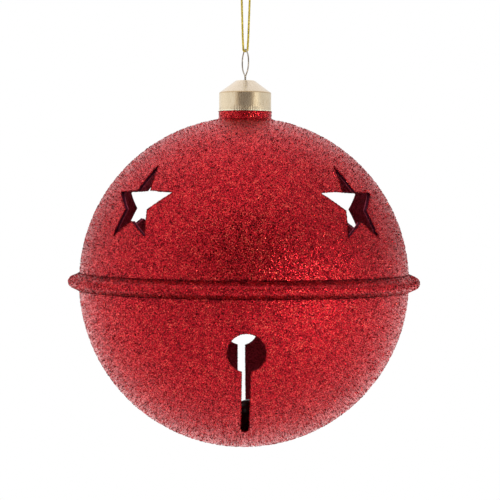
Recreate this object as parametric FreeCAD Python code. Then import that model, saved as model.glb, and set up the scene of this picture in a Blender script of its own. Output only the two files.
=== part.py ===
import FreeCAD, Part
import math
import os

V = FreeCAD.Vector

# A hollow jingle bell ornament. It hangs from a loop of cord, whose hook is at the origin: X runs across the
# bell, Y runs from its front keyhole to its back one, and Z points up. All sizes are millimetres or degrees.

# Bell
ball_radius = 60.0
ball_wall = 1.5
lap_height = 2.0
lap_clearance = 0.05

# Band over the joint of the two shells
band_reach = 4.0
band_half_height = 3.1
band_nose_radius = 2.0
band_clearance = 0.05

# Star windows: four round the upper shell, cut straight in from the side
star_count = 4
star_first_azimuth = 45.0
star_latitude = 28.1
star_radius = 14.2
star_inner_share = 0.41
star_tip_radius = 0.35

# Keyholes: one at the front of the lower shell and one at the back
keyhole_latitude = -20.7
keyhole_radius = 6.7
slot_width = 3.1
slot_end_latitude = -58.0

# Neck
collar_proud = 0.1
collar_height = 2.9
collar_root_radius = 0.8
neck_bore_radius = 7.0
spigot_height = 6.2

# Cap pushed over the neck
cap_radius = 9.5
cap_wall = 0.5
cap_clearance = 0.05
cap_side_height = 6.8
cap_cone_height = 4.5
cap_top_radius = 3.4
cap_shoulder_radius = 0.4
cap_top_edge_radius = 1.0
cap_rim_height = 0.4
cap_rim_proud = 0.15

# Wire hanger: one wire bent into an eye over two legs, turned about the cap's hole
wire_diameter = 0.5
stem_gap = 0.1
stem_height = 1.65
stem_clearance = 0.25
stem_bend_radius = 0.8
eye_reach = 3.3
eye_lower_height = 2.6
eye_upper_height = 7.0
eye_side_radius = 4.8
eye_peak_height = 10.57
eye_peak_radius = 1.8
leg_clearance = 0.25
leg_knee_radius = 1.0
leg_foot_height = 3.0
leg_foot_drop = 0.5
hanger_turn = 19.0

# Clapper: a loose ball, wider than any hole that it could leave by
clapper_margin = 0.5
clapper_clearance = 0.2
clapper_rest_angle = 2.7

# Cord: both ends leave the knot, go round the hook's two sides and down to the eye, where the cord passes
# under the top of the wire. The route is (x, z) in the plane Y = 0, from the knot round to the knot.
cord_diameter = 0.8
cord_drop = 42.0
cord_route = [
    (-0.8, 2.45),
    (-2.25, 0.95),
    (-1.0, -38.2),
    (-0.72, -42.72),
    (0.72, -42.72),
    (1.0, -38.2),
    (2.25, 0.95),
    (0.8, 2.45),
]

# Knot over the hook, with the two cut ends standing out of it
knot_radius = 1.7
knot_height = 3.6
tail_length = 7.0
tail_lean = 17.0
tail_offset = 0.5

# Worked out from the sizes above, measured from the centre of the ball
bore_of_ball = ball_radius - ball_wall
wire_radius = wire_diameter / 2
collar_radius = cap_radius + collar_proud
collar_root = math.sqrt(ball_radius ** 2 - collar_radius ** 2)
collar_top = collar_root + collar_height
cap_shoulder = collar_top + cap_side_height
cap_top = cap_shoulder + cap_cone_height
stem_top = cap_top + stem_height
stem_offset = wire_radius + stem_gap / 2
cap_hole_radius = stem_offset + wire_radius + stem_clearance
spigot_radius = cap_radius - cap_wall - cap_clearance
peak_slope = math.atan2(eye_reach, eye_peak_height - eye_upper_height)
eye_top = stem_top + eye_peak_height - eye_peak_radius * (1 / math.sin(peak_slope) - 1)
clapper_radius = max(keyhole_radius, neck_bore_radius) + clapper_margin
ball_centre = V(0, 0, -cord_drop - eye_top)


def corner_arc(before, corner, after, radius=None):
    """The first, middle and last point of the arc that rounds a corner, and the arc's radius."""
    back = before - corner
    ahead = after - corner
    half_turn = (math.pi - back.getAngle(ahead)) / 2
    if radius is None:
        radius = 0.45 * min(back.Length, ahead.Length) / math.tan(half_turn)
    setback = radius * math.tan(half_turn)
    inward = (back.normalize() + ahead.normalize()).normalize()
    middle = corner + inward * (radius / math.cos(half_turn) - radius)
    return corner + back * setback, middle, corner + ahead * setback, radius


def tube(points, diameter, radii=None):
    """A round bar along straight runs joined by tangent arcs, the radii used, and its length."""
    edges = []
    used = []
    start = points[0]
    for i in range(1, len(points) - 1):
        wanted = radii[i - 1] if radii else None
        first, middle, last, radius = corner_arc(points[i - 1], points[i], points[i + 1], wanted)
        edges.append(Part.LineSegment(start, first).toShape())
        edges.append(Part.Arc(first, middle, last).toShape())
        used.append(radius)
        start = last
    edges.append(Part.LineSegment(start, points[-1]).toShape())
    path = Part.Wire(edges)
    section = Part.Wire(Part.makeCircle(diameter / 2, points[0], points[1] - points[0]))
    return path.makePipeShell([section], True, False), used, path.Length


def turned(corners):
    """A solid made by turning an outline of straight lines, given as (radius, height), about the Z axis."""
    outline = Part.makePolygon([V(r, 0, z) for r, z in corners + corners[:1]])
    return Part.Face(outline).revolve(V(), V(0, 0, 1), 360)


def round_edges(solid, radius, wanted):
    """The solid with its edges round the Z axis rounded where one has a wanted (radius, height)."""
    edges = []
    for edge in solid.Edges:
        if isinstance(edge.Curve, Part.Circle):
            if any(math.hypot(edge.Curve.Radius - r, edge.Curve.Center.z - z) < 0.01 for r, z in wanted):
                edges.append(edge)
    return solid.makeFillet(radius, edges)


def on_ball(latitude):
    """How far out and how high a point of the ball's outside is at a latitude."""
    return ball_radius * math.cos(math.radians(latitude)), ball_radius * math.sin(math.radians(latitude))


def star_window(azimuth):
    """A bar with a five-pointed section, point up, that leaves the ball at the star's latitude."""
    points = []
    for i in range(10):
        reach = star_radius * (1 if i % 2 == 0 else star_inner_share)
        angle = math.radians(90 + 36 * i)
        points.append(V(0, reach * math.cos(angle), on_ball(star_latitude)[1] + reach * math.sin(angle)))
    edges = []
    for tip in range(0, 10, 2):
        first, middle, last, _ = corner_arc(points[tip - 1], points[tip], points[tip + 1], star_tip_radius)
        edges.append(Part.LineSegment(points[tip - 1], first).toShape())
        edges.append(Part.Arc(first, middle, last).toShape())
        edges.append(Part.LineSegment(last, points[tip + 1]).toShape())
    bar = Part.Face(Part.Wire(edges)).extrude(V(ball_radius, 0, 0))
    bar.translate(V(collar_radius, 0, 0))
    bar.rotate(V(), V(0, 0, 1), azimuth)
    return bar


def keyholes():
    """A bar with a keyhole section that passes through the front and the back of the ball."""
    hole_height = on_ball(keyhole_latitude)[1]
    slot_end = on_ball(slot_end_latitude)[1] + slot_width / 2
    length = 2 * ball_radius
    front = V(0, -ball_radius, 0)
    hole = Part.makeCylinder(keyhole_radius, length, front + V(0, 0, hole_height), V(0, 1, 0))
    end = Part.makeCylinder(slot_width / 2, length, front + V(0, 0, slot_end), V(0, 1, 0))
    corner = front + V(-slot_width / 2, 0, slot_end)
    slot = Part.makeBox(slot_width, length, hole_height - slot_end, corner)
    return hole.fuse([slot, end])


def upper_shell():
    """The dome with its neck, whose rim overlaps the lower shell's tongue."""
    dome = Part.makeSphere(ball_radius, V(), V(0, 0, 1), 0, 90, 360)
    collar = Part.makeCylinder(collar_radius, collar_top)
    spigot = Part.makeCylinder(spigot_radius, collar_top + spigot_height)
    solid = dome.fuse([collar, spigot]).removeSplitter()
    solid = round_edges(solid, collar_root_radius, [(collar_radius, collar_root)])
    bore = Part.makeCylinder(neck_bore_radius, cap_top)
    rebate = Part.makeCylinder(bore_of_ball + ball_wall / 2 + lap_clearance, lap_height + lap_clearance)
    windows = [star_window(star_first_azimuth + 360 / star_count * i) for i in range(star_count)]
    return solid.cut([Part.makeSphere(bore_of_ball), bore, rebate] + windows)


def lower_shell():
    """The bowl with its two keyholes, and the tongue that stands up inside the dome's rim."""
    bowl = Part.makeSphere(ball_radius, V(), V(0, 0, 1), -90, 0, 360)
    tongue = Part.makeCylinder(bore_of_ball + ball_wall / 2, lap_height)
    hollow = Part.makeSphere(bore_of_ball)
    return bowl.fuse(tongue).cut([hollow, keyholes()])


def seam_band():
    """A ring with a flat inside and flanks that slope to a round nose, slid over the joint of the shells."""
    inside = ball_radius + band_clearance
    outside = ball_radius + band_reach
    nose_centre = outside - band_nose_radius
    to_corner = math.hypot(nose_centre - inside, band_half_height)
    corner_angle = math.atan2(band_half_height, inside - nose_centre)
    touch_angle = corner_angle - math.acos(band_nose_radius / to_corner)
    turn_radius = nose_centre + band_nose_radius * math.cos(touch_angle)
    turn_height = band_nose_radius * math.sin(touch_angle)
    low, high = V(inside, 0, -band_half_height), V(inside, 0, band_half_height)
    low_turn, high_turn = V(turn_radius, 0, -turn_height), V(turn_radius, 0, turn_height)
    edges = [
        Part.LineSegment(low, low_turn).toShape(),
        Part.Arc(low_turn, V(outside, 0, 0), high_turn).toShape(),
        Part.LineSegment(high_turn, high).toShape(),
        Part.LineSegment(high, low).toShape(),
    ]
    return Part.Face(Part.Wire(edges)).revolve(V(), V(0, 0, 1), 360)


def hanger_cap():
    """A pressed cup with a coned top, a small hole for the wire and a rim that stands proud."""
    cone_slope = math.atan2(cap_cone_height, cap_radius - cap_top_radius)
    thinner = cap_wall * math.tan(cone_slope / 2)
    outer = turned([
        (0, collar_top),
        (cap_radius + cap_rim_proud, collar_top),
        (cap_radius + cap_rim_proud, collar_top + cap_rim_height),
        (cap_radius, collar_top + cap_rim_height),
        (cap_radius, cap_shoulder),
        (cap_top_radius, cap_top),
        (0, cap_top),
    ])
    outer = round_edges(outer, cap_shoulder_radius, [(cap_radius, cap_shoulder)])
    outer = round_edges(outer, cap_top_edge_radius, [(cap_top_radius, cap_top)])
    inner = turned([
        (0, collar_top),
        (cap_radius - cap_wall, collar_top),
        (cap_radius - cap_wall, cap_shoulder - thinner),
        (cap_top_radius - thinner, cap_top - cap_wall),
        (0, cap_top - cap_wall),
    ])
    hole = Part.makeCylinder(cap_hole_radius, cap_top + cap_wall)
    return outer.cut([inner, hole])


def wire_hanger():
    """The eye, the stem through the cap and the two legs that spread in the neck, from foot to foot."""
    foot_reach = neck_bore_radius - leg_clearance - wire_radius
    foot = collar_root + leg_foot_drop
    knee_up = cap_top - cap_wall - leg_knee_radius
    one_side = [
        (foot_reach, foot),
        (foot_reach, foot + leg_foot_height),
        (stem_offset, knee_up),
        (stem_offset, stem_top),
        (eye_reach, stem_top + eye_lower_height),
        (eye_reach, stem_top + eye_upper_height),
    ]
    bends = [leg_knee_radius, leg_knee_radius, stem_bend_radius, eye_side_radius, eye_side_radius]
    peak = [(0, stem_top + eye_peak_height)]
    other_side = [(-u, z) for u, z in reversed(one_side)]
    points = [V(0, u, z) for u, z in one_side + peak + other_side]
    radii = bends + [eye_peak_radius] + bends[::-1]
    wire, _, _ = tube(points, wire_diameter, radii)
    wire.rotate(V(), V(0, 0, 1), hanger_turn)
    return wire


def clapper_ball():
    """The loose ball, at rest on the inside of the bowl, a little to one side."""
    reach = bore_of_ball - clapper_clearance - clapper_radius
    lean = math.radians(clapper_rest_angle)
    return Part.makeSphere(clapper_radius, V(reach * math.sin(lean), 0, -reach * math.cos(lean)))


def hanging_cord():
    """The cord from the knot, down through the eye and back up to the knot."""
    points = [V(x, 0, z) for x, z in cord_route]
    solid, radii, length = tube(points, cord_diameter)
    print("cord radii", [round(r, 2) for r in radii], "length", round(length, 2))
    print("cord volume", round(solid.Volume, 3), "against", round(math.pi * cord_diameter ** 2 / 4 * length, 3))
    return solid


def cord_knot():
    """The knot that closes the loop over the hook, with its two cut ends."""
    centre = V(0, 0, knot_height)
    knot = Part.makeSphere(knot_radius, centre)
    tails = []
    for side in (-1, 1):
        lean = math.radians(tail_lean)
        start = centre + V(side * tail_offset, 0, 0)
        along = V(side * math.sin(lean), 0, math.cos(lean))
        tails.append(Part.makeCylinder(cord_diameter / 2, tail_length, start, along))
    return knot.fuse(tails).removeSplitter()


def check_solid(name, shape):
    """Stops the build if a piece isn't one closed, valid solid."""
    if not shape.isValid() or len(shape.Solids) != 1 or shape.Volume <= 0:
        raise ValueError(f"{name} isn't one valid solid")


bell_pieces = {
    "upper_shell": upper_shell(),
    "lower_shell": lower_shell(),
    "seam_band": seam_band(),
    "hanger_cap": hanger_cap(),
    "wire_hanger": wire_hanger(),
    "clapper_ball": clapper_ball(),
}
for shape in bell_pieces.values():
    shape.translate(ball_centre)
pieces = {**bell_pieces, "hanging_cord": hanging_cord(), "cord_knot": cord_knot()}

os.makedirs("parts", exist_ok=True)
for name, shape in pieces.items():
    solid = shape.Solids[0]
    check_solid(name, shape)
    solid.exportStep(f"parts/{name}.step")
    box = solid.BoundBox
    corners = [round(v, 2) for v in (box.XMin, box.YMin, box.ZMin, box.XMax, box.YMax, box.ZMax)]
    print(name, round(solid.Volume, 1), corners)
print("ball centre", round(ball_centre.z, 3), "clapper radius", clapper_radius)
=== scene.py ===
import math
import random

import bpy
from mathutils import Matrix, Vector


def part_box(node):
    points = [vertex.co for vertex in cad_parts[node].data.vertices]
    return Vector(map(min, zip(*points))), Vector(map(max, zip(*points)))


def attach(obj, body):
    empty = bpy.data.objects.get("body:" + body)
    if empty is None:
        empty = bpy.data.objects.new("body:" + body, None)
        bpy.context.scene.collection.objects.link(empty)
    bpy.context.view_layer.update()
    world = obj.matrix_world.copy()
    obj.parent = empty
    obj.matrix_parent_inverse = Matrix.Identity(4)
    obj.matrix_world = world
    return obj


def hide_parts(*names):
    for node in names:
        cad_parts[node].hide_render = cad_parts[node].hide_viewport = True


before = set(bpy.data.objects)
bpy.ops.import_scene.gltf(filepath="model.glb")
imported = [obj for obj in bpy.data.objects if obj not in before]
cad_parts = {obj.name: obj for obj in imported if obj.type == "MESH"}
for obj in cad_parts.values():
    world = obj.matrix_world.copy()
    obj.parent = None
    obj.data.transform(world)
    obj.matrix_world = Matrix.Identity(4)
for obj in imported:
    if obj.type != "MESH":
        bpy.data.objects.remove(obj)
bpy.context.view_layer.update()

# Every length is in metres. These places and sizes come from the frame.
band_low, band_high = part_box("seam_band")
shell_low, shell_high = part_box("lower_shell")
cap_low, cap_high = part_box("hanger_cap")
ball_centre = (band_low + band_high) / 2
ball_radius = (shell_high.x - shell_low.x) / 2

# Camera
VIEW_DISTANCE = 0.62
VIEW_AZIMUTH = math.radians(-1.0)
VIEW_ELEVATION = math.radians(2.8)
VIEW_ROLL = math.radians(0.35)
VIEW_LENS = 121.9
AIM_RIGHT = 0.0021
AIM_UP = 0.0116

# Cord: the route from the knot, round the left of the hook, down, under the eye's wire and back up.
CORD_DIAMETER = 0.0008
CORD_ROUTE = [
    (-0.00080, 0.00245),
    (-0.00225, 0.00095),
    (-0.00218, -0.00115),
    (-0.00104, -0.03700),
    (-0.00100, -0.03820),
    (-0.00080, -0.04140),
    (-0.00076, -0.04272),
    (0.00076, -0.04272),
    (0.00080, -0.04140),
    (0.00100, -0.03820),
    (0.00104, -0.03700),
    (0.00218, -0.00115),
    (0.00225, 0.00095),
    (0.00080, 0.00245),
]
CORD_STEP = 0.00012
STRANDS = 3
STRAND_PITCH = 0.0021
STRAND_SHARE = 0.3

# Knot, with its two cut ends and the hairs that fray from them
KNOT_RADIUS = 0.0017
KNOT_CENTRE = Vector((0, 0, 0.0036))
KNOT_STEPS = 180
KNOT_DEPTH = 1.6
KNOT_SWELL = 1.15
TAIL_LENGTH = 0.0062
TAIL_LEAN = math.radians(17)
TAIL_OFFSET = 0.0005
TAIL_STEPS = 50
HAIRS = 14
HAIR_STEPS = 3
HAIR_ROOT_SPREAD = 0.8
HAIR_LENGTH = 0.0009
HAIR_SPREAD = 0.00032
HAIR_RADIUS = 0.00004

# Glitter: how fine it is, and its colours from the gaps to the palest flakes
GLITTER_DEPTH = 0.00025
FLAKES_PER_METRE = 4400.0
FLAKE_TILT = 0.52
GRIT_PER_METRE = 1900.0
GRIT_HEIGHT = 0.0002
CLUMPS_PER_METRE = 420.0
CLUMP_RANGE = (0.3, 0.7)
CLUMP_CONTRAST = 0.09
FLAKE_ROUGHNESS = (0.06, 0.46)
FLAKE_COLOURS = [
    (0.05, (0.02, 0.0, 0.001, 1)),
    (0.28, (0.20, 0.002, 0.007, 1)),
    (0.6, (0.49, 0.009, 0.021, 1)),
    (0.9, (0.88, 0.022, 0.036, 1)),
    (1.0, (1.0, 0.125, 0.085, 1)),
]
FLAKE_EDGE_TINT = (1.0, 0.72, 0.72, 1)
DUST_COLOURS = [(0.3, (0.0, 0.0, 0.0, 1)), (0.8, (0.05, 0.034, 0.038, 1))]
# Painted shade: the glitter is darkened in the crease beside the band, standing in for its shadow.
CREASE_SHADE_WIDTH = 0.0008
CREASE_SHADE_RAGGED = 0.0006
CREASE_SHADE_STRENGTH = 0.5
CREASE_SHADE_COLOUR = (0.09, 0.001, 0.006, 1)

# Lacquer inside the ball, and on the cut edges of its windows. The cut edges keep the lacquer's own dark
# plum; the inner wall is painted lighter, as painted light for the dim light inside the ball.
BALL_WALL = 0.0015
LACQUER_PER_METRE = 1400.0
INNER_LACQUER_PAINTED_LIGHT_COLOURS = [(0.35, (0.46, 0.06, 0.11, 1)), (0.65, (0.90, 0.15, 0.24, 1))]
CUT_FADE = (0.0001, 0.0003)
CUT_COLOURS = [(0.35, (0.05, 0.006, 0.016, 1)), (0.65, (0.10, 0.014, 0.035, 1))]

# Loose flakes on the surface and along sharp edges
SHELL_FLAKES = 52000
BAND_FLAKES = 22000
FLAKE_RADII = (0.00014, 0.00027)
FLAKE_SIDES = 6
FLAKE_LEAN = 0.7
FLAKE_LIFT = 0.3
SHARP_EDGE = math.radians(35)
RIM_FLAKES_PER_METRE = 9000
RIM_FLAKE_RADII = (0.00012, 0.00024)

# Cap
CAP_CONE_HEIGHT = 0.0045
CAP_RIM_HEIGHT = 0.0004
CAP_FLUTES = 96.0
CAP_FLUTE_FADE = (0.0012, 0.0022)
CAP_RELIEF = 0.00005
CAP_ROUGHNESS = (0.22, 0.34)
CAP_CONE_FADE = 0.0003
CAP_BEND_FADE = (0.0001, 0.0004)
CAP_BEND_STRENGTH = 0.55
BRUSH_LINES = 60.0
BRUSH_RUNS = 300.0
CAP_SIDE_COLOURS = [(0.3, (0.72, 0.57, 0.37, 1)), (0.7, (0.86, 0.75, 0.56, 1))]
CAP_CONE_COLOURS = [(0.3, (0.50, 0.40, 0.29, 1)), (0.7, (0.74, 0.64, 0.51, 1))]
CAP_BEND_COLOUR = (0.42, 0.25, 0.10, 1)
# The rim's lighter colour is a painted highlight.
CAP_RIM_HIGHLIGHT_COLOUR = (0.97, 0.92, 0.70, 1)

# Other metals, and the foil on the yarn
WIRE_COLOURS = [(0.3, (0.24, 0.20, 0.16, 1)), (0.7, (0.50, 0.45, 0.37, 1))]
WIRE_GRAIN = 1500.0
STEEL_COLOURS = [(0.3, (0.06, 0.045, 0.042, 1)), (0.7, (0.10, 0.075, 0.07, 1))]
STEEL_GRAIN = 300.0
FOIL_PER_METRE = 5200.0
FOIL_COLOURS = [
    (0.0, (0.20, 0.14, 0.006, 1)),
    (0.5, (0.66, 0.50, 0.03, 1)),
    (1.0, (0.92, 0.79, 0.18, 1)),
]

# Studio: a white tent with a dark patch round the camera, on white paper
WHITE = (1.0, 1.0, 1.0, 1.0)
PATCH_EDGES = (math.radians(47), math.radians(27))
TENT_COLOURS = [
    (0.0, (0.95, 0.95, 0.96, 1)),
    (0.5, (0.58, 0.39, 0.18, 1)),
    (1.0, (0.055, 0.024, 0.008, 1)),
]
TENT_RIGHT_STRENGTH = 0.72
TENT_LAMPS = 0.5
FLOOR_DROP = 0.35
FLOOR_HALF = 20.0
FLOOR_GLOW = 0.6
PAPER_GRAIN = 3.0
PAPER_COLOURS = [(0.0, (0.88, 0.88, 0.88, 1)), (1.0, (0.92, 0.92, 0.92, 1))]
SOFTBOX_DISTANCE = 0.9


# ---------------------------------------------------------------- node helpers

def new_material(name):
    material = bpy.data.materials.new(name)
    material.use_nodes = True
    tree = material.node_tree
    tree.nodes.clear()
    output = tree.nodes.new("ShaderNodeOutputMaterial")
    return material, tree, output


def feed(tree, socket, value):
    """Sets an input to a value, or links another node's output to it."""
    if isinstance(value, bpy.types.NodeSocket):
        tree.links.new(value, socket)
    else:
        socket.default_value = value


def node(tree, kind, inputs=None, **settings):
    """A new node with its settings, and its inputs set to values or linked to other nodes' outputs."""
    made = tree.nodes.new(kind)
    for key, value in settings.items():
        setattr(made, key, value)
    for key, value in (inputs or {}).items():
        feed(tree, made.inputs[key], value)
    return made


def sum_of(tree, operation, *values):
    """The number that a sum such as ADD or SINE gives for its values."""
    return node(tree, "ShaderNodeMath", dict(enumerate(values)), operation=operation).outputs["Value"]


def vector_of(tree, operation, *vectors):
    """The vector that a sum such as ADD or NORMALIZE gives for its vectors."""
    return node(tree, "ShaderNodeVectorMath", dict(enumerate(vectors)), operation=operation).outputs["Vector"]


def remap(tree, value, start, end, low=0.0, high=1.0, **settings):
    """A value moved from the range start to end into the range low to high, and kept within it."""
    inputs = {"Value": value, "From Min": start, "From Max": end, "To Min": low, "To Max": high}
    return node(tree, "ShaderNodeMapRange", inputs, **settings).outputs["Result"]


def noise(tree, place, scale, detail):
    inputs = {"Vector": place, "Scale": scale, "Detail": detail}
    return node(tree, "ShaderNodeTexNoise", inputs).outputs["Fac"]


def relief(tree, height, strength, distance, **inputs):
    """The normal of a surface that a height makes rough."""
    inputs = {"Height": height, "Strength": strength, "Distance": distance, **inputs}
    return node(tree, "ShaderNodeBump", inputs).outputs["Normal"]


def principled(tree, colour, **inputs):
    """A principled shader's output. Spaces in its inputs' names are written as underlines."""
    named = {key.replace("_", " "): value for key, value in inputs.items()}
    return node(tree, "ShaderNodeBsdfPrincipled", {"Base Color": colour, **named}).outputs["BSDF"]


def blend(tree, factor, first, second):
    """The colour that is a factor of the way from one colour to another."""
    made = node(tree, "ShaderNodeMix", data_type="RGBA")
    sockets = [socket for socket in made.inputs if socket.enabled]
    for socket, value in zip(sockets, (factor, first, second)):
        feed(tree, socket, value)
    return next(socket for socket in made.outputs if socket.enabled)


def ramp(tree, factor, stops):
    """The colour at a factor along a ramp with (position, colour) stops."""
    made = node(tree, "ShaderNodeValToRGB", {"Fac": factor})
    elements = made.color_ramp.elements
    for position, colour in stops[1:-1]:
        elements.new(position).color = colour
    elements[0].position, elements[0].color = stops[0]
    elements[-1].position, elements[-1].color = stops[-1]
    return made.outputs["Color"]


def dress(object_name, material):
    """Gives a CAD node's object its material."""
    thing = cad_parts[object_name]
    if thing.material_slots:
        for slot in thing.material_slots:
            slot.material = material
    else:
        thing.data.materials.append(material)


# ---------------------------------------------------------------- materials

def painted_crease_shade(tree, place, clumps):
    """How much painted shade darkens a place in the crease beside the band, with a ragged edge."""
    height = node(tree, "ShaderNodeSeparateXYZ", {"Vector": place}).outputs["Z"]
    from_middle = sum_of(tree, "ABSOLUTE", sum_of(tree, "SUBTRACT", height, ball_centre.z))
    from_crease = sum_of(tree, "SUBTRACT", from_middle, band_high.z - ball_centre.z)
    ragged = remap(tree, clumps, *CLUMP_RANGE, -CREASE_SHADE_RAGGED, CREASE_SHADE_RAGGED)
    shade_distance = sum_of(tree, "ADD", sum_of(tree, "ABSOLUTE", from_crease), ragged)
    return remap(tree, shade_distance, 0.0, CREASE_SHADE_WIDTH, CREASE_SHADE_STRENGTH, 0.0)


def glitter_coat(tree, place):
    """Metallic flakes that lean each its own way on a gritty ground, with paler dust at grazing angles."""
    grit = relief(tree, noise(tree, place, GRIT_PER_METRE, 2.0), 0.6, GRIT_HEIGHT)
    inputs = {"Vector": place, "Scale": FLAKES_PER_METRE, "Randomness": 1.0}
    cells = node(tree, "ShaderNodeTexVoronoi", inputs)
    centred = vector_of(tree, "SUBTRACT", cells.outputs["Color"], (0.5, 0.5, 0.5))
    tilt = node(tree, "ShaderNodeVectorMath", {0: centred, "Scale": FLAKE_TILT}, operation="SCALE")
    leaning = vector_of(tree, "ADD", grit, tilt.outputs["Vector"])
    normal = vector_of(tree, "NORMALIZE", leaning)

    picks = node(tree, "ShaderNodeSeparateColor", {"Color": cells.outputs["Color"]})
    clumps = noise(tree, place, CLUMPS_PER_METRE, 2.0)
    shade = remap(tree, clumps, *CLUMP_RANGE, -CLUMP_CONTRAST, CLUMP_CONTRAST)
    level = sum_of(tree, "ADD", picks.outputs["Green"], shade)
    # The crease beside the band is darkened with painted shade.
    colour = blend(tree, painted_crease_shade(tree, place, clumps), ramp(tree, level, FLAKE_COLOURS), CREASE_SHADE_COLOUR)
    gloss = remap(tree, picks.outputs["Blue"], 0.0, 1.0, *FLAKE_ROUGHNESS)
    flakes = principled(tree, colour, Specular_Tint=FLAKE_EDGE_TINT, Metallic=1.0, Roughness=gloss,
                        Normal=normal, Coat_Weight=0.12, Coat_Roughness=0.06, Coat_Normal=normal)
    dust = node(tree, "ShaderNodeBsdfSheen", {"Color": ramp(tree, level, DUST_COLOURS), "Roughness": 0.3})
    return node(tree, "ShaderNodeAddShader", {0: flakes, 1: dust.outputs["BSDF"]}).outputs["Shader"]


def lacquer_coat(tree, place, reach):
    """Dull lacquer, darker where a window is cut through the wall, which shows its own dark plum; the inner
    wall is painted lighter, as painted light for the dim light inside the ball.
    """
    mottle = noise(tree, place, LACQUER_PER_METRE, 3.0)
    # The inner wall's lacquer is painted lighter than the cut faces: painted light for the dim inside.
    inner = ramp(tree, mottle, INNER_LACQUER_PAINTED_LIGHT_COLOURS)
    cut = ramp(tree, mottle, CUT_COLOURS)
    inside_radius = ball_radius - BALL_WALL
    fade_start, fade_end = CUT_FADE
    into_wall = remap(tree, reach, inside_radius + fade_start, inside_radius + fade_end)
    return principled(tree, blend(tree, into_wall, inner, cut), Roughness=0.8, Specular_IOR_Level=0.03,
                      Normal=relief(tree, mottle, 0.4, 0.0002))


def glitter_material(name):
    """Fine red glitter outside, and the lacquered wall inside the ball."""
    material, tree, output = new_material(name)
    place = node(tree, "ShaderNodeTexCoord").outputs["Object"]
    from_centre = vector_of(tree, "SUBTRACT", place, ball_centre)
    reach = node(tree, "ShaderNodeVectorMath", {0: from_centre}, operation="LENGTH").outputs["Value"]
    outside = sum_of(tree, "GREATER_THAN", reach, ball_radius - GLITTER_DEPTH)
    coats = {0: outside, 1: lacquer_coat(tree, place, reach), 2: glitter_coat(tree, place)}
    both = node(tree, "ShaderNodeMixShader", coats).outputs["Shader"]
    tree.links.new(both, output.inputs["Surface"])
    return material


def metal_material(name, colours, roughness, grain):
    """A metal with a fine grain that varies its colour and roughness."""
    material, tree, output = new_material(name)
    place = node(tree, "ShaderNodeTexCoord").outputs["Object"]
    spots = noise(tree, place, grain, 4.0)
    rough = remap(tree, spots, 0.0, 1.0, roughness * 0.8, roughness * 1.2)
    shader = principled(tree, ramp(tree, spots, colours), Metallic=1.0, Roughness=rough,
                        Normal=relief(tree, spots, 0.05, 0.0001))
    tree.links.new(shader, output.inputs["Surface"])
    return material


def cap_material(name):
    """Thin brass, brushed down its sides, with a greyer cone, a darker bend, a pressed edge and a painted
    highlight along its rim.
    """
    material, tree, output = new_material(name)
    place = node(tree, "ShaderNodeTexCoord").outputs["Object"]
    parts = node(tree, "ShaderNodeSeparateXYZ", {"Vector": place})
    front = sum_of(tree, "MULTIPLY", parts.outputs["Y"], -1.0)
    around = sum_of(tree, "ARCTAN2", parts.outputs["X"], front)
    height = parts.outputs["Z"]

    across = sum_of(tree, "MULTIPLY", around, BRUSH_LINES)
    down = sum_of(tree, "MULTIPLY", height, BRUSH_RUNS)
    strokes = node(tree, "ShaderNodeCombineXYZ", {"X": across, "Y": down}).outputs["Vector"]
    brushed = noise(tree, strokes, 1.0, 3.0)
    side = ramp(tree, brushed, CAP_SIDE_COLOURS)
    cone = ramp(tree, brushed, CAP_CONE_COLOURS)

    shoulder = cap_high.z - CAP_CONE_HEIGHT
    body = blend(tree, remap(tree, height, shoulder, shoulder + CAP_CONE_FADE), side, cone)
    off_bend = sum_of(tree, "ABSOLUTE", sum_of(tree, "SUBTRACT", height, shoulder))
    bend = remap(tree, off_bend, *CAP_BEND_FADE, CAP_BEND_STRENGTH, 0.0)
    bent = blend(tree, bend, body, CAP_BEND_COLOUR)
    # A painted highlight lightens the rim.
    rim_highlight = sum_of(tree, "LESS_THAN", height, cap_low.z + CAP_RIM_HEIGHT)
    colour = blend(tree, rim_highlight, bent, CAP_RIM_HIGHLIGHT_COLOUR)

    flute = sum_of(tree, "SINE", sum_of(tree, "MULTIPLY", around, CAP_FLUTES))
    fade_start, fade_end = CAP_FLUTE_FADE
    near_rim = remap(tree, height, cap_low.z + fade_start, cap_low.z + fade_end, 1.0, 0.0)
    pressed = sum_of(tree, "MULTIPLY", flute, near_rim)
    normal = relief(tree, pressed, 0.5, CAP_RELIEF, Normal=relief(tree, brushed, 0.25, CAP_RELIEF))
    rough = remap(tree, brushed, 0.0, 1.0, *CAP_ROUGHNESS)
    shader = principled(tree, colour, Metallic=1.0, Roughness=rough, Normal=normal)
    tree.links.new(shader, output.inputs["Surface"])
    return material


def yarn_material(name):
    """Metallic gold yarn: narrow foil ribbon wound along the strand, with dark gaps."""
    material, tree, output = new_material(name)
    place = node(tree, "ShaderNodeTexCoord").outputs["Object"]
    foil = node(tree, "ShaderNodeTexVoronoi", {"Vector": place, "Scale": FOIL_PER_METRE})
    picked = node(tree, "ShaderNodeSeparateColor", {"Color": foil.outputs["Color"]}).outputs["Red"]
    shader = principled(tree, ramp(tree, picked, FOIL_COLOURS), Metallic=0.75, Roughness=0.38,
                        Normal=relief(tree, foil.outputs["Distance"], 0.6, 0.0001))
    tree.links.new(shader, output.inputs["Surface"])
    return material


# ---------------------------------------------------------------- loose glitter

def outside_shell(point, normal):
    """Whether a place on a shell is on its outside, clear of the band."""
    out = point - ball_centre
    clear_of_band = abs(out.z) > band_high.z - ball_centre.z
    return out.length > ball_radius - GLITTER_DEPTH and clear_of_band and normal.dot(out) > 0


def outside_band(point, _):
    """Whether a place on the band is on its outside or its two edges, whichever way it faces."""
    out = point - ball_centre
    return math.hypot(out.x, out.y) > ball_radius


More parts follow.
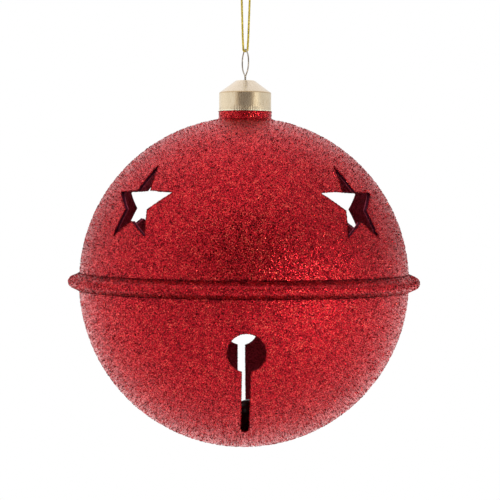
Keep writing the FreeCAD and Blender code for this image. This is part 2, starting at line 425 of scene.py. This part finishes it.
def add_flake(vertices, faces, centre, normal, radius, shuffle):
    """Adds one flat flake, leaning at random from the surface that it is stuck to."""
    lean = Vector([shuffle.uniform(-1, 1) for _ in range(3)]) * FLAKE_LEAN
    up = (normal + lean).normalized()
    side = up.orthogonal().normalized()
    other = up.cross(side)
    first = len(vertices)
    turn = shuffle.uniform(0, math.pi)
    for k in range(FLAKE_SIDES):
        angle = turn + 2 * math.pi * k / FLAKE_SIDES
        vertices.append(centre + (side * math.cos(angle) + other * math.sin(angle)) * radius)
    faces.append(tuple(range(first, first + FLAKE_SIDES)))


def add_surface_flakes(vertices, faces, mesh, count, outside, shuffle):
    """Scatters flakes over the outside of a mesh, evenly by area."""
    mesh.calc_loop_triangles()
    triangles = list(mesh.loop_triangles)
    for triangle in shuffle.choices(triangles, [t.area for t in triangles], k=count):
        a, b = sorted((shuffle.random(), shuffle.random()))
        corners = [mesh.vertices[i].co for i in triangle.vertices]
        point = corners[0] * a + corners[1] * (b - a) + corners[2] * (1 - b)
        if outside(point, triangle.normal):
            radius = shuffle.uniform(*FLAKE_RADII)
            lifted = point + triangle.normal * radius * FLAKE_LIFT
            add_flake(vertices, faces, lifted, triangle.normal, radius, shuffle)


def add_rim_flakes(vertices, faces, mesh, outside, shuffle):
    """Scatters flakes along the sharp outside edges of a mesh, which are the rims of its openings."""
    normals = {}
    for polygon in mesh.polygons:
        for key in polygon.edge_keys:
            ends = tuple(sorted(tuple(round(v, 6) for v in mesh.vertices[i].co) for i in key))
            normals.setdefault(ends, []).append(polygon.normal)
    for ends, sides in normals.items():
        if len(sides) == 2 and sides[0].angle(sides[1], 0) > SHARP_EDGE:
            start, end = Vector(ends[0]), Vector(ends[1])
            wanted = (end - start).length * RIM_FLAKES_PER_METRE
            for _ in range(int(wanted + shuffle.random())):
                point = start.lerp(end, shuffle.random())
                normal = (sides[0] + sides[1]).normalized()
                if outside(point, normal):
                    add_flake(vertices, faces, point, normal, shuffle.uniform(*RIM_FLAKE_RADII), shuffle)


def build_flakes(name, node_name, material, count, outside, seed):
    """One piece with all the loose flakes stuck on a CAD node."""
    shuffle = random.Random(seed)
    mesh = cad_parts[node_name].data
    vertices, faces = [], []
    add_surface_flakes(vertices, faces, mesh, count, outside, shuffle)
    add_rim_flakes(vertices, faces, mesh, outside, shuffle)
    flakes = mesh_object(name, vertices, faces, material)
    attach(flakes, "bell")


# ---------------------------------------------------------------- cord and knot

def nurbs_points(route):
    """The points of the smooth line that a route controls."""
    curve = bpy.data.curves.new("route", "CURVE")
    curve.dimensions = "3D"
    curve.resolution_u = 48
    spline = curve.splines.new("NURBS")
    spline.points.add(len(route) - 1)
    for point, (x, z) in zip(spline.points, route):
        point.co = (x, 0.0, z, 1.0)
    spline.order_u = 3
    spline.use_endpoint_u = True
    carrier = bpy.data.objects.new("route", curve)
    mesh = bpy.data.meshes.new_from_object(carrier)
    points = [v.co.copy() for v in mesh.vertices]
    bpy.data.objects.remove(carrier)
    bpy.data.curves.remove(curve)
    bpy.data.meshes.remove(mesh)
    return points


def evenly(points, step):
    """The line again, with its points one step apart."""
    line = [points[0]]
    spare = 0.0
    for start, end in zip(points, points[1:]):
        length = (end - start).length
        along = step - spare
        while along <= length:
            line.append(start.lerp(end, along / length))
            along += step
        spare = length - (along - step)
    return line


def frames_along(line):
    """A frame at each point of a line that turns with it and doesn't twist about it."""
    side = Vector((0, 1, 0))
    frames = []
    for i, point in enumerate(line):
        ahead = (line[min(i + 1, len(line) - 1)] - line[max(i - 1, 0)]).normalized()
        side = (side - ahead * side.dot(ahead)).normalized()
        frames.append((point, side, ahead.cross(side)))
    return frames


def add_tube(vertices, faces, line, radius, sides=8):
    """Adds a capped tube along a line to a mesh's lists."""
    first = len(vertices)
    for point, side, up in frames_along(line):
        for k in range(sides):
            angle = 2 * math.pi * k / sides
            vertices.append(point + (side * math.cos(angle) + up * math.sin(angle)) * radius)
    for i in range(len(line) - 1):
        for k in range(sides):
            a = first + i * sides + k
            b = first + i * sides + (k + 1) % sides
            faces.append((a, b, b + sides, a + sides))
    faces.append(tuple(first + k for k in reversed(range(sides))))
    faces.append(tuple(first + (len(line) - 1) * sides + k for k in range(sides)))


def add_twisted(vertices, faces, line, diameter):
    """Adds twisted strands that together are a cord of the diameter along a line."""
    strand_radius = diameter * STRAND_SHARE
    offset = diameter / 2 - strand_radius
    step = (line[1] - line[0]).length
    for strand in range(STRANDS):
        path = []
        for i, (point, side, up) in enumerate(frames_along(line)):
            angle = 2 * math.pi * (strand / STRANDS + i * step / STRAND_PITCH)
            path.append(point + (side * math.cos(angle) + up * math.sin(angle)) * offset)
        add_tube(vertices, faces, path, strand_radius)


def mesh_object(name, vertices, faces, material):
    mesh = bpy.data.meshes.new(name)
    mesh.from_pydata([tuple(v) for v in vertices], [], faces)
    mesh.shade_smooth()
    mesh.materials.append(material)
    thing = bpy.data.objects.new(name, mesh)
    bpy.context.scene.collection.objects.link(thing)
    return thing


def build_cord(material):
    route = nurbs_points(CORD_ROUTE)
    line = evenly(route, CORD_STEP)
    vertices, faces = [], []
    add_twisted(vertices, faces, line, CORD_DIAMETER)
    cord = mesh_object("gold_cord", vertices, faces, material)
    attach(cord, "cord")
    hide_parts("hanging_cord")
    return cord, line


def overhand_turns():
    """The line of an overhand knot, drawn as a trefoil."""
    scale = (KNOT_RADIUS - CORD_DIAMETER / 2) / 3
    turns = []
    for i in range(KNOT_STEPS + 1):
        t = 2 * math.pi * i / KNOT_STEPS
        across = math.sin(t) + 2 * math.sin(2 * t)
        up = math.cos(t) - 2 * math.cos(2 * t)
        deep = -KNOT_DEPTH * math.sin(3 * t)
        turns.append(KNOT_CENTRE + Vector((across, deep, up)) * scale)
    return turns


def build_knot(material):
    """An overhand knot of the doubled cord, pulled tight, with its two cut ends."""
    vertices, faces = [], []
    add_twisted(vertices, faces, overhand_turns(), CORD_DIAMETER * KNOT_SWELL)
    shuffle = random.Random(7)
    for side in (-1, 1):
        lean = Vector((side * math.sin(TAIL_LEAN), 0, math.cos(TAIL_LEAN)))
        start = KNOT_CENTRE + Vector((side * TAIL_OFFSET, 0, 0))
        tail = [start + lean * (TAIL_LENGTH * i / TAIL_STEPS) for i in range(TAIL_STEPS + 1)]
        add_twisted(vertices, faces, tail, CORD_DIAMETER)
        for _ in range(HAIRS):
            spread = Vector((shuffle.uniform(-1, 1), shuffle.uniform(-1, 1), 0)) * HAIR_SPREAD
            root = tail[-4] + spread * HAIR_ROOT_SPREAD
            hair = [root + lean * (HAIR_LENGTH * k / HAIR_STEPS) + spread * (k / HAIR_STEPS) ** 2
                    for k in range(HAIR_STEPS + 1)]
            add_tube(vertices, faces, hair, HAIR_RADIUS, 4)
    knot = mesh_object("tied_knot", vertices, faces, material)
    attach(knot, "cord")
    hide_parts("cord_knot")
    return knot


# ---------------------------------------------------------------- studio

def way_to(azimuth, elevation):
    """The direction from the ball to an azimuth, right of its front, and an elevation, in radians."""
    return Vector((math.sin(azimuth) * math.cos(elevation), -math.cos(azimuth) * math.cos(elevation),
                   math.sin(elevation)))


def build_camera():
    back = way_to(VIEW_AZIMUTH, VIEW_ELEVATION)
    right = Vector((0, 0, 1)).cross(back).normalized()
    up = back.cross(right)
    place = ball_centre + back * VIEW_DISTANCE
    aim = ball_centre + right * AIM_RIGHT + up * AIM_UP
    lens = bpy.data.cameras.new("camera")
    lens.lens = VIEW_LENS
    lens.clip_start = 0.01
    camera = bpy.data.objects.new("camera", lens)
    bpy.context.scene.collection.objects.link(camera)
    turn = (aim - place).to_track_quat("-Z", "Y").to_matrix().to_4x4()
    camera.matrix_world = Matrix.Translation(place) @ turn @ Matrix.Rotation(VIEW_ROLL, 4, "Z")
    bpy.context.scene.camera = camera
    return back


def unless_seen(tree, shader, plain):
    """A shader for everything but the camera, which sees a plain one."""
    seen = node(tree, "ShaderNodeLightPath").outputs["Is Camera Ray"]
    return node(tree, "ShaderNodeMixShader", {0: seen, 1: shader, 2: plain}).outputs["Shader"]


def build_world(back):
    """A white tent all round, brighter high behind, dimmer to the right, and dark where the camera stands."""
    world = bpy.data.worlds.new("tent")
    bpy.context.scene.world = world
    world.use_nodes = True
    tree = world.node_tree
    tree.nodes.clear()
    output = tree.nodes.new("ShaderNodeOutputWorld")
    way = node(tree, "ShaderNodeTexCoord").outputs["Generated"]
    towards = node(tree, "ShaderNodeVectorMath", {0: way, 1: back}, operation="DOT_PRODUCT").outputs["Value"]
    outer, inner = (math.cos(angle) for angle in PATCH_EDGES)
    patch = remap(tree, towards, outer, inner, interpolation_type="SMOOTHSTEP")
    parts = node(tree, "ShaderNodeSeparateXYZ", {"Vector": way})
    sides = remap(tree, parts.outputs["X"], 0.0, 0.8, 1.0, TENT_RIGHT_STRENGTH)
    # The same product is high low down in front, where the floor hides the tent.
    high_behind = sum_of(tree, "MULTIPLY", parts.outputs["Y"], parts.outputs["Z"])
    strength = sum_of(tree, "ADD", sides, remap(tree, high_behind, 0.1, 0.5, 0.0, TENT_LAMPS))
    tent_colour = ramp(tree, patch, TENT_COLOURS)
    tent = node(tree, "ShaderNodeBackground", {"Color": tent_colour, "Strength": strength})
    plain = node(tree, "ShaderNodeBackground", {"Color": WHITE, "Strength": 1.0})
    both = unless_seen(tree, tent.outputs["Background"], plain.outputs["Background"])
    tree.links.new(both, output.inputs["Surface"])


def softbox(name, azimuth, elevation, size, power, colour=(1, 1, 1)):
    """An area light that faces the ball from an azimuth and an elevation, in degrees."""
    way = way_to(math.radians(azimuth), math.radians(elevation))
    light = bpy.data.lights.new(name, "AREA")
    light.shape = "RECTANGLE"
    light.size, light.size_y = size
    light.energy = power
    light.color = colour
    lamp = bpy.data.objects.new(name, light)
    lamp.location = ball_centre + way * SOFTBOX_DISTANCE
    lamp.rotation_euler = (-way).to_track_quat("-Z", "Y").to_euler()
    bpy.context.scene.collection.objects.link(lamp)


def build_floor():
    """White paper that glows a little behind the ball, and that the camera sees as plain white."""
    material, tree, output = new_material("studio_floor")
    place = node(tree, "ShaderNodeTexCoord").outputs["Object"]
    spots = node(tree, "ShaderNodeTexNoise", {"Vector": place, "Scale": PAPER_GRAIN}).outputs["Fac"]
    behind = node(tree, "ShaderNodeSeparateXYZ", {"Vector": place}).outputs["Y"]
    paper = principled(tree, ramp(tree, spots, PAPER_COLOURS), Roughness=0.9, Emission_Color=WHITE,
                       Emission_Strength=remap(tree, behind, -0.1, 0.6, 0.0, FLOOR_GLOW))
    plain = node(tree, "ShaderNodeEmission", {"Color": WHITE, "Strength": 1.0}).outputs["Emission"]
    tree.links.new(unless_seen(tree, paper, plain), output.inputs["Surface"])
    height = shell_low.z - FLOOR_DROP
    signs = ((-1, -1), (1, -1), (1, 1), (-1, 1))
    corners = [Vector((x * FLOOR_HALF, y * FLOOR_HALF, height)) for x, y in signs]
    floor = mesh_object("floor", corners, [(0, 1, 2, 3)], material)


# ---------------------------------------------------------------- the scene

scene = bpy.context.scene
scene.view_settings.view_transform = "Standard"
scene.view_settings.look = "None"

camera_side = build_camera()
gold_yarn = yarn_material("gold_yarn")
cord, cord_line = build_cord(gold_yarn)
knot = build_knot(gold_yarn)

red_glitter = glitter_material("red_glitter")
for name in ("upper_shell", "lower_shell", "seam_band"):
    dress(name, red_glitter)
build_flakes("upper_flakes", "upper_shell", red_glitter, SHELL_FLAKES, outside_shell, seed=1)
build_flakes("lower_flakes", "lower_shell", red_glitter, SHELL_FLAKES, outside_shell, seed=2)
build_flakes("band_flakes", "seam_band", red_glitter, BAND_FLAKES, outside_band, seed=3)
dress("hanger_cap", cap_material("pale_gold"))
dress("wire_hanger", metal_material("drawn_wire", WIRE_COLOURS, roughness=0.25, grain=WIRE_GRAIN))
dress("clapper_ball", metal_material("dark_steel", STEEL_COLOURS, roughness=0.3, grain=STEEL_GRAIN))

build_world(camera_side)
build_floor()
softbox("key", azimuth=50, elevation=-9, size=(0.14, 0.16), power=1.7, colour=(1.0, 0.95, 0.80))
softbox("top", azimuth=10, elevation=75, size=(0.8, 0.8), power=0.5)
